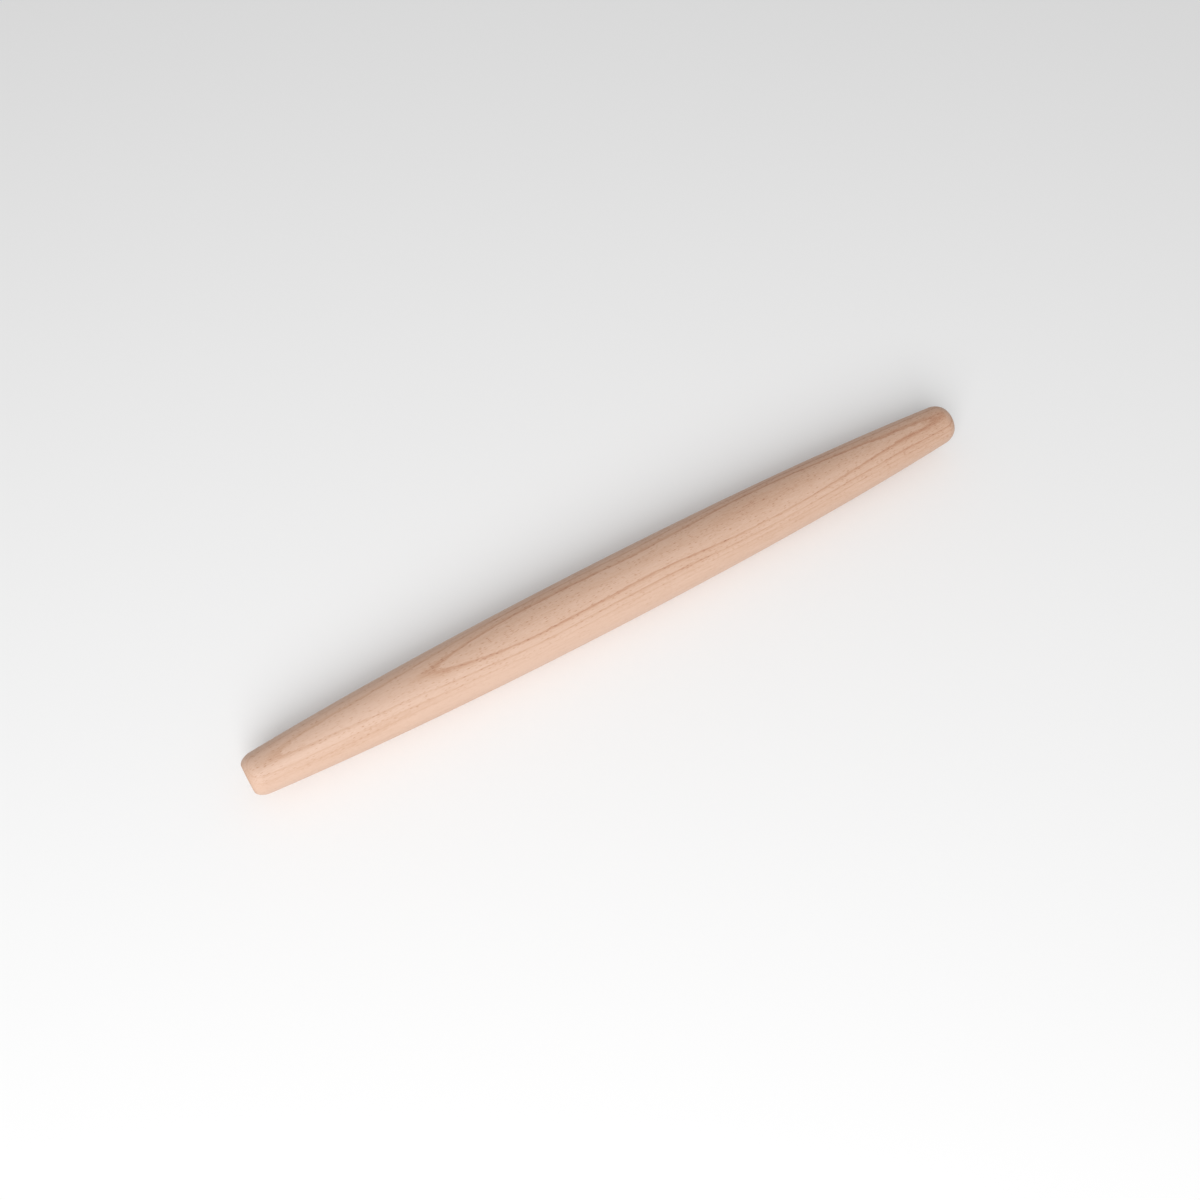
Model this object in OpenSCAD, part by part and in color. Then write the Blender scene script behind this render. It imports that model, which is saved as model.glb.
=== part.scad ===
// French rolling pin: one billet of beech turned between centres.
// The axis lies along X with mid length at the origin, and the belly rests on a table at -Z.

/* [Barrel] */
// Overall length, from one end face to the other
pin_length = 500; // [300:5:700]
// Diameter of the belly at mid length, the fattest place
belly_d = 41.5; // [34:0.5:60]
// Diameter that the long taper would reach at the end faces if they were left square
tip_d = 25; // [18:0.5:32]
// Part of the taper that is held back towards the ends: 0 makes it a plain parabola
taper_hold = 0.2; // [0:0.05:0.8]

/* [Ends] */
// Diameter of the flat left on each end face
end_face_d = 16; // [4:0.5:17]
// Length of the round-over that runs from the taper into the end face
end_round_l = 7.7; // [2:0.1:20]

/* [Hidden] */
// How finely the outline is drawn: the longest step along the taper and the steps in a round-over
step_l = 8;
round_steps = 12;
facets = 180;
beech = [0.87, 0.73, 0.64];
half_l = pin_length / 2;
belly_r = belly_d / 2;
tip_r = tip_d / 2;
end_face_r = end_face_d / 2;
// The taper ends and the round-over begins at this distance from mid length
shoulder_x = half_l - end_round_l;
taper_steps = ceil(shoulder_x / step_l);

// Radius of the long taper at x: a shallow curve from the belly to the tips, alike on both sides
function taper_r(x) =
    let (s = abs(x) / half_l)
    belly_r - (belly_r - tip_r) * ((1 - taper_hold) * pow(s, 2) + taper_hold * pow(s, 4));

// Point on the round-over, from 0 degrees where it leaves the taper to 90 where it meets the flat
function round_point(angle) =
    let (x = shoulder_x + end_round_l * sin(angle))
    [x, end_face_r + (taper_r(x) - end_face_r) * cos(angle)];

// Outline of one half as distances along X and radii, from the belly out to the rim of the end face
half_outline = concat(
    [for (i = [0 : taper_steps - 1]) let (x = shoulder_x * i / taper_steps) [x, taper_r(x)]],
    [for (i = [0 : round_steps]) round_point(90 * i / round_steps)]
);

// The other half of the outline, from its own end face back to just short of the belly
mirrored_outline = [
    for (i = [len(half_outline) - 1 : -1 : 1]) [-half_outline[i][0], half_outline[i][1]]
];

// Turns an outline of distances along X and radii about the X axis, closed by flat end faces
module turned(outline) {
    last = len(outline) - 1;
    axis_ends = [[0, outline[last][0]], [0, outline[0][0]]];
    rotate([0, 90, 0])
        rotate_extrude($fn = facets)
            polygon(concat([for (p = outline) [p[1], p[0]]], axis_ends));
}

// The whole pin: belly, tapers, round-overs and end faces, all in one piece of wood
module turned_pin() {
    color(beech)
        turned(concat(mirrored_outline, half_outline));
}

turned_pin();
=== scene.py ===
"""French rolling pin: one turned billet of steamed beech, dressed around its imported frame."""
import logging
import math
from dataclasses import dataclass
from enum import Enum

import bpy
from mathutils import Matrix, Vector


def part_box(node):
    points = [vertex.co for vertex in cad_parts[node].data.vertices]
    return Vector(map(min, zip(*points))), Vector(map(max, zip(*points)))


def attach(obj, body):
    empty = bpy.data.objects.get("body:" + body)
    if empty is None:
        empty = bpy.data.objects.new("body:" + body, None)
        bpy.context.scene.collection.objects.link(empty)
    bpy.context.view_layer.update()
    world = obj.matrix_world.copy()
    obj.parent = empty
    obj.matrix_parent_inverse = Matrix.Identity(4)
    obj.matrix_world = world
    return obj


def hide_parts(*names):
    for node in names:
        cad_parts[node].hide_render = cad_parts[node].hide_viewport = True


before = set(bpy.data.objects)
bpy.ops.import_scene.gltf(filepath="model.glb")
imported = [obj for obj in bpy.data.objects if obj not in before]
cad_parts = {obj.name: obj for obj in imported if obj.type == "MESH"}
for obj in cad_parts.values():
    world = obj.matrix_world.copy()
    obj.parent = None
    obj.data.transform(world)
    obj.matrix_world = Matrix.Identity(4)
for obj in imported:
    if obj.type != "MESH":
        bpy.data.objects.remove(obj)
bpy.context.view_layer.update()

MM = 0.001
PER_MM = 1000.0
LOG = logging.getLogger("rolling_pin")

Colour = tuple[float, float, float, float]
Socket = bpy.types.NodeSocket
Value = bpy.types.NodeSocket | float


def outward(turn: float, height: float) -> Vector:
    """Points from the pin's middle to a light or a camera.

    Args:
        turn: Degrees round from the front, towards the right.
        height: Degrees up from level.

    Returns:
        A direction of length 1.
    """
    around, up = math.radians(turn), math.radians(height)
    level = math.cos(up)
    return Vector((math.sin(around) * level, -math.cos(around) * level, math.sin(up)))


@dataclass(frozen=True)
class TurnedOutline:
    """The outline that the lathe leaves: a long shallow taper and a round-over at each end."""

    half_length: float
    belly_radius: float
    tip_radius: float = 12.5 * MM
    taper_hold: float = 0.2
    end_face_radius: float = 8.0 * MM
    end_round_length: float = 7.7 * MM

    @property
    def shoulder(self) -> float:
        """Distance from mid length at which the taper gives way to the round-over."""
        return self.half_length - self.end_round_length

    def taper_radius(self, x: float) -> float:
        """Gives the radius of the long taper.

        Args:
            x: Distance along the axis from mid length, either way.

        Returns:
            The radius there, in metres.
        """
        s = abs(x) / self.half_length
        drop = (1 - self.taper_hold) * s**2 + self.taper_hold * s**4
        return self.belly_radius - (self.belly_radius - self.tip_radius) * drop

    def round_point(self, angle: float) -> tuple[float, float]:
        """Gives a point on the round-over.

        Args:
            angle: From 0 where the taper ends to pi/2 at the rim of the end face.

        Returns:
            Distance from mid length and radius, in metres.
        """
        x = self.shoulder + self.end_round_length * math.sin(angle)
        swell = self.taper_radius(x) - self.end_face_radius
        return x, self.end_face_radius + swell * math.cos(angle)

    def half(self, taper_steps: int, round_steps: int) -> list[tuple[float, float]]:
        """Lists the outline of one half, from mid length to the rim of the end face.

        Args:
            taper_steps: Steps along the long taper.
            round_steps: Steps along the round-over.

        Returns:
            Pairs of distance from mid length and radius.
        """
        taper = [self.shoulder * i / taper_steps for i in range(taper_steps)]
        angles = [math.pi / 2 * i / round_steps for i in range(round_steps + 1)]
        return [(x, self.taper_radius(x)) for x in taper] + [self.round_point(a) for a in angles]


class Edge(Enum):
    """How a share passes from 0 to 1 between two values."""

    SOFT = "SMOOTHSTEP"
    STRAIGHT = "LINEAR"


@dataclass(frozen=True)
class Rise:
    """A share that is 0 at its start and 1 at its end, and held beyond them."""

    start: float
    end: float
    edge: Edge = Edge.SOFT


@dataclass(frozen=True)
class Clouds:
    """A cloudy pattern: the size of one cloud along x, y and z in millimetres, and its swing."""

    size: tuple[float, float, float]
    swing: float
    layers: float = 2.0
    layer_strength: float = 0.5


class Workings:
    """Shorthand for wiring up the nodes of one material."""

    def __init__(self, material: bpy.types.Material) -> None:
        """Empties the material's node tree and keeps it.

        Args:
            material: The material to wire up.
        """
        material.use_nodes = True
        self.tree = material.node_tree
        self.tree.nodes.clear()

    def node(self, kind: str, **settings: str | bool) -> bpy.types.Node:
        """Adds a node.

        Args:
            kind: The node's type, without its ShaderNode prefix.
            settings: Values for the node's own properties.

        Returns:
            The new node.
        """
        made = self.tree.nodes.new("ShaderNode" + kind)
        for name, value in settings.items():
            setattr(made, name, value)
        return made

    def feed(self, socket: Socket, value: Value | tuple[float, ...]) -> None:
        """Links an output to a socket, or sets the socket to a plain value.

        Args:
            socket: The input to feed.
            value: An output, a number, or a colour or place as numbers.
        """
        if isinstance(value, bpy.types.NodeSocket):
            self.tree.links.new(value, socket)
        else:
            socket.default_value = value

    def calc(self, operation: str, *values: Value) -> Socket:
        """Adds one step of arithmetic.

        Args:
            operation: The step's name in Blender, such as MULTIPLY.
            values: Its one to three operands.

        Returns:
            The result's output.
        """
        made = self.node("Math", operation=operation)
        for socket, value in zip(made.inputs, values):
            self.feed(socket, value)
        return made.outputs[0]

    def parts(self, place: Socket) -> tuple[Socket, Socket, Socket]:
        """Takes a place apart.

        Args:
            place: The place or direction.

        Returns:
            Its three numbers.
        """
        made = self.node("SeparateXYZ")
        self.feed(made.inputs[0], place)
        return tuple(made.outputs)

    def join(self, x: Value, y: Value, z: Value) -> Socket:
        """Joins three numbers into a place.

        Args:
            x: The first number.
            y: The second number.
            z: The third number.

        Returns:
            The place's output.
        """
        made = self.node("CombineXYZ")
        for socket, value in zip(made.inputs, (x, y, z)):
            self.feed(socket, value)
        return made.outputs[0]

    def shrunk(self, place: Socket, size: tuple[float, float, float]) -> Socket:
        """Divides a place by a size, so that a pattern of size 1 comes out that large.

        Args:
            place: The place, in millimetres.
            size: The size along each direction, in millimetres.

        Returns:
            The divided place's output.
        """
        made = self.node("VectorMath", operation="DIVIDE")
        self.feed(made.inputs[0], place)
        self.feed(made.inputs[1], size)
        return made.outputs[0]

    def share(self, value: Value, rise: Rise) -> Socket:
        """Turns a value into a share from 0 to 1.

        Args:
            value: The value to read.
            rise: Where the share starts and ends.

        Returns:
            The share's output.
        """
        made = self.node("MapRange", interpolation_type=rise.edge.value, clamp=True)
        self.feed(made.inputs["Value"], value)
        made.inputs["From Min"].default_value = rise.start
        made.inputs["From Max"].default_value = rise.end
        return made.outputs["Result"]

    def clouds(self, place: Socket, clouds: Clouds) -> Socket:
        """Adds a cloudy pattern about 0.5.

        Args:
            place: Where the pattern is read, in millimetres.
            clouds: The size of its clouds.

        Returns:
            The pattern's output, from 0 to 1.
        """
        made = self.node("TexNoise", noise_dimensions="3D")
        self.feed(made.inputs["Vector"], self.shrunk(place, clouds.size))
        made.inputs["Scale"].default_value = 1.0
        made.inputs["Detail"].default_value = clouds.layers
        made.inputs["Roughness"].default_value = clouds.layer_strength
        return made.outputs["Fac"]

    def about_zero(self, pattern: Socket, swing: float) -> Socket:
        """Turns a pattern about 0.5 into one about 0.

        Args:
            pattern: The pattern, from 0 to 1.
            swing: The distance between its lowest and highest value.

        Returns:
            The new pattern's output.
        """
        return self.calc("MULTIPLY_ADD", pattern, swing, -swing / 2)

    def finish(self, shader: bpy.types.Node) -> None:
        """Hands the shader to the material."""
        self.feed(self.node("OutputMaterial").inputs["Surface"], shader.outputs[0])


@dataclass(frozen=True)
class GrowthRings:
    """The growth rings: where the tree's heart lies and how they lean along the pin.

    The outermost ring edge comes out through the top of the barrel and draws the main oval.
    Its height above the axis is a curve along the pin with a wave on it, and two clouds shift
    it. Sizes are in millimetres. A ring count of 0 is that edge, and lower counts lie towards
    the heart.
    """

    heart_distance: float = 80.0
    heart_turn: float = math.radians(8)
    spacing: float = 2.2
    outer_spacing: float = 3.8
    edge_height: float = 19.2
    edge_lean: float = -0.006
    edge_bend: float = -0.00007
    wave: float = 0.5
    wave_length: float = 27.1
    wave_start: float = -28.7
    wander: Clouds = Clouds((38, 8, 8), swing=0.7)
    tremble: Clouds = Clouds((6, 1.1, 1.1), swing=0.35)
    least_strength: float = 0.6
    seen: Rise = Rise(-4.2, -0.4, Edge.STRAIGHT)
    darkening: Rise = Rise(0.2, 1.0)
    line_start: Rise = Rise(0.62, 0.93)
    line_end: Rise = Rise(1.0, 0.94)

    def from_heart(self, w: Workings, y: Socket, z: Socket) -> tuple[Socket, Socket]:
        """Measures a place from the tree's heart, which runs along the pin far below it.

        Args:
            w: The material's workings.
            y: Place across the pin, in millimetres.
            z: Place up, in millimetres.

        Returns:
            Distance from the heart, and the way round it as at the pin's axis, in millimetres.
        """
        across = w.calc("SUBTRACT", y, self.heart_distance * math.sin(self.heart_turn))
        up = w.calc("ADD", z, self.heart_distance * math.cos(self.heart_turn))
        squares = w.calc("MULTIPLY_ADD", across, across, w.calc("MULTIPLY", up, up))
        way_round = w.calc("MULTIPLY", w.calc("ARCTAN2", across, up), self.heart_distance)
        return w.calc("SQRT", squares), way_round

    def facing(self, w: Workings, face_y: Socket, face_z: Socket) -> Socket:
        """Tells how squarely the surface looks away from the heart or towards it.

        Args:
            w: The material's workings.
            face_y: The surface normal's part across the pin.
            face_z: The surface normal's part up.

        Returns:
            From 0 on the sides of the pin to 1 at the top and the bottom.
        """
        across = w.calc("MULTIPLY", face_y, -math.sin(self.heart_turn))
        squarely = w.calc("MULTIPLY_ADD", face_z, math.cos(self.heart_turn), across)
        return w.calc("ABSOLUTE", squarely)

    def count(self, w: Workings, place: Socket, x: Socket, depth: Socket) -> Socket:
        """Counts the rings from the outermost ring edge.

        Args:
            w: The material's workings.
            place: Place in millimetres.
            x: Place along the pin, in millimetres.
            depth: Distance from the heart, in millimetres.

        Returns:
            The ring count, with its fraction running outwards through each ring.
        """
        slope = w.calc("MULTIPLY_ADD", x, self.edge_bend, self.edge_lean)
        curve = w.calc("MULTIPLY_ADD", slope, x, self.edge_height + self.heart_distance)
        along_wave = w.calc("DIVIDE", w.calc("SUBTRACT", x, self.wave_start), self.wave_length)
        edge = w.calc("MULTIPLY_ADD", w.calc("SINE", along_wave), self.wave, curve)
        wander = w.about_zero(w.clouds(place, self.wander), self.wander.swing)
        tremble = w.about_zero(w.clouds(place, self.tremble), self.tremble.swing)
        outwards = w.calc("ADD", w.calc("SUBTRACT", depth, edge), w.calc("ADD", wander, tremble))
        inner = w.calc("DIVIDE", w.calc("MINIMUM", outwards, 0.0), self.spacing)
        outer = w.calc("DIVIDE", w.calc("MAXIMUM", outwards, 0.0), self.outer_spacing)
        return w.calc("ADD", inner, outer)

    def draw(self, w: Workings, count: Socket) -> tuple[Socket, Socket]:
        """Draws the rings, each with its own strength and fainter towards the heart.

        Args:
            w: The material's workings.
            count: The ring count.

        Returns:
            The slow darkening through each ring, and the thin line at its outer edge.
        """
        chance = w.node("TexWhiteNoise", noise_dimensions="1D")
        w.feed(chance.inputs["W"], w.calc("FLOOR", count))
        own = w.calc(
            "MULTIPLY_ADD", chance.outputs["Value"], 1 - self.least_strength, self.least_strength
        )
        strength = w.calc("MULTIPLY", own, w.share(count, self.seen))
        through = w.calc("FRACT", count)
        slow = w.calc("MULTIPLY", w.share(through, self.darkening), strength)
        line = w.calc(
            "MULTIPLY", w.share(through, self.line_start), w.share(through, self.line_end)
        )
        return slow, w.calc("MULTIPLY", line, strength)


@dataclass(frozen=True)
class Rays:
    """The rays: thin upright lenses that show as short dark dashes on the top of the pin.

    The size of one lens's cell is given along the pin, round the heart and out from it, in
    millimetres. A lens fades from its middle to its rim, both as shares of its cell.
    """

    cell: tuple[float, float, float] = (3.6, 0.5, 9)
    lens: Rise = Rise(0.38, 0.08)
    kept: Rise = Rise(0.15, 0.75)
    square_on: Rise = Rise(0.3, 0.95)
    strength_aside: float = 0.35

    def draw(self, w: Workings, grain_place: Socket, facing: Socket) -> Socket:
        """Draws the rays.

        Args:
            w: The material's workings.
            grain_place: Place along the pin, round the heart and out from it, in millimetres.
            facing: How squarely the surface looks away from the heart.

        Returns:
            The rays' output, from 0 to 1.
        """
        cells = w.node("TexVoronoi", feature="F1", distance="EUCLIDEAN")
        w.feed(cells.inputs["Vector"], w.shrunk(grain_place, self.cell))
        cells.inputs["Scale"].default_value = 1.0
        cells.inputs["Randomness"].default_value = 1.0
        chance = w.node("SeparateColor")
        w.feed(chance.inputs[0], cells.outputs["Color"])
        lenses = w.share(cells.outputs["Distance"], self.lens)
        lenses = w.calc("MULTIPLY", lenses, w.share(chance.outputs[0], self.kept))
        square_on = w.share(facing, self.square_on)
        strength = w.calc(
            "MULTIPLY_ADD", square_on, 1 - self.strength_aside, self.strength_aside
        )
        return w.calc("MULTIPLY", lenses, strength)


@dataclass(frozen=True)
class BeechFinish:
    """Steamed beech, turned and finely sanded.

    The wood's tone runs from 0, pale, through warm and late wood to 1, the darkest fleck. Each
    share below is how much its pattern adds to the tone.
    """

    name: str = "steamed_beech"
    rings: GrowthRings = GrowthRings()
    rays: Rays = Rays()
    fibre: Clouds = Clouds((11, 0.4, 0.4), swing=0.8, layers=3, layer_strength=0.65)
    pores: Clouds = Clouds((2.4, 0.12, 0.12), swing=0.6, layers=1)
    zones: Clouds = Clouds((140, 9, 9), swing=0.6)

    pale: Colour = (0.65, 0.448, 0.342, 1)
    warm: Colour = (0.58, 0.372, 0.262, 1)
    late: Colour = (0.45, 0.225, 0.135, 1)
    fleck: Colour = (0.31, 0.14, 0.085, 1)
    warm_tone: float = 0.35
    late_tone: float = 0.75

    least_tone: float = 0.06
    ring_share: float = 0.16
    line_share: float = 0.42
    ray_share: float = 0.6
    end_share: float = 0.18
    end_grain: Rise = Rise(0.55, 0.97)
    # Painted shade: the wood is darkened towards its right end and its far side, away from the
    # light.
    painted_shade_share: float = 0.36
    painted_shade_rise: Rise = Rise(-240, 360, Edge.STRAIGHT)
    painted_shade_across: float = 12.0

    roughness: float = 0.5
    fibre_roughness: float = 0.12
    end_roughness: float = 0.15
    bump: float = 0.35
    bump_height: float = 0.02 * MM
    ray_sink: float = -0.6

    def material(self) -> bpy.types.Material:
        """Makes the wood.

        Returns:
            The finished material.
        """
        wood = bpy.data.materials.new(self.name)
        w = Workings(wood)
        spot = w.node("TexCoord")
        scaled = w.node("VectorMath", operation="SCALE")
        w.feed(scaled.inputs[0], spot.outputs["Object"])
        scaled.inputs["Scale"].default_value = PER_MM
        place = scaled.outputs[0]
        x, y, z = w.parts(place)
        face_x, face_y, face_z = w.parts(spot.outputs["Normal"])

        depth, way_round = self.rings.from_heart(w, y, z)
        ring, line = self.rings.draw(w, self.rings.count(w, place, x, depth))
        facing = self.rings.facing(w, face_y, face_z)
        rays = self.rays.draw(w, w.join(x, way_round, depth), facing)
        fibre = w.clouds(place, self.fibre)
        pores = w.clouds(place, self.pores)
        end_grain = w.share(w.calc("ABSOLUTE", face_x), self.end_grain)

        tone = w.calc("MULTIPLY_ADD", ring, self.ring_share, self.least_tone)
        tone = w.calc("ADD", tone, w.about_zero(fibre, self.fibre.swing))
        tone = w.calc("ADD", tone, w.about_zero(pores, self.pores.swing))
        tone = w.calc("ADD", tone, w.about_zero(w.clouds(place, self.zones), self.zones.swing))
        # Painted shade: darker towards the right end and the far side.
        tone = w.calc("MULTIPLY_ADD", self.painted_far_right_shade(w, x, y), self.painted_shade_share, tone)
        tone = w.calc("MULTIPLY_ADD", line, self.line_share, tone)
        tone = w.calc("MULTIPLY_ADD", end_grain, self.end_share, tone)
        tone = w.calc("MULTIPLY_ADD", rays, self.ray_share, tone)

        rough = w.calc("ADD", self.roughness, w.about_zero(fibre, self.fibre_roughness))
        rough = w.calc("MULTIPLY_ADD", end_grain, self.end_roughness, rough)
        relief = w.calc("MULTIPLY_ADD", rays, self.ray_sink, w.calc("ADD", fibre, pores))
        shader = w.node("BsdfPrincipled")
        w.feed(shader.inputs["Base Color"], self.colour(w, tone))
        w.feed(shader.inputs["Roughness"], rough)
        w.feed(shader.inputs["Normal"], self.raised(w, relief))
        w.finish(shader)
        return wood

    def painted_far_right_shade(self, w: Workings, x: Socket, y: Socket) -> Socket:
        """Paints shade into the wood's colour: darker towards its right end and its far side,
        which face away from the light.

        Args:
            w: The material's workings.
            x: Place along the pin, in millimetres.
            y: Place across the pin, in millimetres.

        Returns:
            The painted shade, from 0 to 1.
        """
        return w.share(w.calc("MULTIPLY_ADD", y, self.painted_shade_across, x), self.painted_shade_rise)

    def colour(self, w: Workings, tone: Socket) -> Socket:
        """Gives the colour of a tone.

        Args:
            w: The material's workings.
            tone: The wood's tone.

        Returns:
            The colour's output.
        """
        ramp = w.node("ValToRGB")
        ramp.color_ramp.interpolation = "LINEAR"
        stops = ramp.color_ramp.elements
        stops[0].position, stops[0].color = 0.0, self.pale
        stops[1].position, stops[1].color = 1.0, self.fleck
        stops.new(self.warm_tone).color = self.warm
        stops.new(self.late_tone).color = self.late
        w.feed(ramp.inputs[0], tone)
        return ramp.outputs[0]

    def raised(self, w: Workings, relief: Socket) -> Socket:
        """Turns the relief of the sanded grain into a bent surface normal.

        Args:
            w: The material's workings.
            relief: The height of the grain.

        Returns:
            The normal's output.
        """
        bump = w.node("Bump")
        bump.inputs["Strength"].default_value = self.bump
        bump.inputs["Distance"].default_value = self.bump_height
        w.feed(bump.inputs["Height"], relief)
        return bump.outputs[0]


@dataclass(frozen=True)
class TablePaint:
    """A plain pale matt paint for the table top."""

    name: str = "table_paint"
    colour: Colour = (0.93, 0.93, 0.93, 1)
    roughness: float = 0.9
    specular: float = 0.1

    def material(self) -> bpy.types.Material:
        """Makes the paint.

        Returns:
            The finished material.
        """
        paint = bpy.data.materials.new(self.name)
        w = Workings(paint)
        shader = w.node("BsdfPrincipled")
        shader.inputs["Base Color"].default_value = self.colour
        shader.inputs["Roughness"].default_value = self.roughness
        shader.inputs["Specular IOR Level"].default_value = self.specular
        w.finish(shader)
        return paint


@dataclass
class TurnedPin:
    """The pin itself, the only piece: belly, tapers, round-overs and end faces."""

    outline: TurnedOutline
    name: str = "beech_pin"
    around: int = 160
    taper_steps: int = 110
    round_steps: int = 16
    face_rings: int = 6

    def rings(self) -> list[tuple[float, float]]:
        """Lists every turned ring from one end face to the other, without the two centres.

        Returns:
            Pairs of place along the axis and radius.
        """
        half = self.outline.half(self.taper_steps, self.round_steps)
        end_x, rim = half[-1]
        half += [(end_x, rim * (1 - i / self.face_rings)) for i in range(1, self.face_rings)]
        return [(-x, r) for x, r in reversed(half[1:])] + half

    def build(self) -> bpy.types.Object:
        """Makes the pin's mesh, smooth all over, and puts it in the scene.

        Returns:
            The new object, riding on the pin's body in place of its CAD solid.
        """
        rings = self.rings()
        turns = [2 * math.pi * k / self.around for k in range(self.around)]
        points = [(x, -r * math.sin(t), r * math.cos(t)) for x, r in rings for t in turns]
        left_centre = len(points)
        right_centre = left_centre + 1
        points += [(-self.outline.half_length, 0, 0), (self.outline.half_length, 0, 0)]
        last = (len(rings) - 1) * self.around
        faces = []
        for k in range(self.around):
            n = (k + 1) % self.around
            for low in range(0, last, self.around):
                high = low + self.around
                faces.append((low + k, low + n, high + n, high + k))
            faces.append((left_centre, n, k))
            faces.append((right_centre, last + k, last + n))
        mesh = bpy.data.meshes.new(self.name)
        mesh.from_pydata(points, [], faces)
        mesh.polygons.foreach_set("use_smooth", [True] * len(mesh.polygons))
        pin = bpy.data.objects.new(self.name, mesh)
        bpy.context.scene.collection.objects.link(pin)
        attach(pin, "root")
        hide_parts("turned_pin")
        return pin

    def dress(self, pin: bpy.types.Object, finish: BeechFinish) -> None:
        """Gives the pin its wood."""
        pin.data.materials.append(finish.material())


@dataclass(frozen=True)
class SoftLight:
    """A square soft box that points at the pin's middle."""

    name: str = "key_light"
    turn: float = -35.0
    height: float = 38.0
    distance: float = 2.3
    size: float = 1.6
    watts: float = 45.0

    def hang(self) -> bpy.types.Object:
        """Puts the light in the scene.

        Returns:
            The light's object.
        """
        data = bpy.data.lights.new(self.name, "AREA")
        data.size = self.size
        data.energy = self.watts
        light = bpy.data.objects.new(self.name, data)
        away = outward(self.turn, self.height)
        light.location = away * self.distance
        light.rotation_mode = "QUATERNION"
        light.rotation_quaternion = away.to_track_quat("Z", "Y")
        bpy.context.scene.collection.objects.link(light)
        return light


@dataclass(frozen=True)
class Studio:
    """A plain pale table top in a white room, lit softly from the front left."""

    table_height: float
    table_size: float = 6.0
    paint: TablePaint = TablePaint()
    key: SoftLight = SoftLight()
    room_colour: Colour = (1.0, 1.0, 1.0, 1)
    room_strength: float = 0.48

    def build(self) -> None:
        """Lays the table top, hangs the light and fills the room."""
        self.lay_table()
        self.key.hang()
        self.fill_room()

    def lay_table(self) -> None:
        """Lays the painted table top under the pin."""
        half = self.table_size / 2
        corners = [(-half, -half), (half, -half), (half, half), (-half, half)]
        mesh = bpy.data.meshes.new("table_top")
        mesh.from_pydata([(x, y, self.table_height) for x, y in corners], [], [(0, 1, 2, 3)])
        mesh.materials.append(self.paint.material())
        table = bpy.data.objects.new("table_top", mesh)
        bpy.context.scene.collection.objects.link(table)

    def fill_room(self) -> None:
        """Fills the room with even light and shows its colours as they are."""
        room = bpy.data.worlds.new("white_room")
        room.use_nodes = True
        background = room.node_tree.nodes["Background"]
        background.inputs["Color"].default_value = self.room_colour
        background.inputs["Strength"].default_value = self.room_strength
        bpy.context.scene.world = room
        bpy.context.scene.view_settings.view_transform = "Standard"


@dataclass(frozen=True)
class PhotoCamera:
    """The camera that sees the pin as the photograph does.

    It looks past the pin's middle, a little to its left and below, so its own place is shifted
    by as much in its picture plane. The focal length is in pixels of the picture.
    """

    name: str = "photo_camera"
    turn: float = -31.0
    height: float = 58.73
    distance: float = 828.5 * MM
    shift_right: float = -15.2 * MM
    shift_up: float = -8.88 * MM
    picture: float = 1200.0
    focal_pixels: float = 1347.9

    def build(self) -> bpy.types.Object:
        """Sets up the camera and makes it the scene's own.

        Returns:
            The camera's object.
        """
        back = outward(self.turn, self.height)
        turn = math.radians(self.turn)
        right = Vector((math.cos(turn), math.sin(turn), 0))
        up = back.cross(right)
        data = bpy.data.cameras.new(self.name)
        data.lens = self.focal_pixels / self.picture * data.sensor_width
        camera = bpy.data.objects.new(self.name, data)
        place = right * self.shift_right + up * self.shift_up + back * self.distance
        axes = Matrix((right, up, back)).transposed().to_4x4()
        camera.matrix_world = Matrix.Translation(place) @ axes
        bpy.context.scene.collection.objects.link(camera)
        bpy.context.scene.camera = camera
        return camera


def main() -> None:
    """Builds the camera, the pin and the studio in order, and logs each piece."""
    logging.basicConfig(level=logging.INFO, format="%(message)s")
    camera = PhotoCamera().build()
    LOG.info("camera: %s, lens %.1f mm", camera.name, camera.data.lens)
    low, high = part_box("turned_pin")
    turned = TurnedPin(TurnedOutline((high.x - low.x) / 2, (high.z - low.z) / 2))
    pin = turned.build()
    turned.dress(pin, BeechFinish())
    LOG.info("%s: %d faces, %s", pin.name, len(pin.data.polygons), pin.data.materials[0].name)
    Studio(table_height=low.z).build()
    LOG.info("studio: table top at %.2f mm", low.z * PER_MM)


if __name__ == "__main__":
    main()
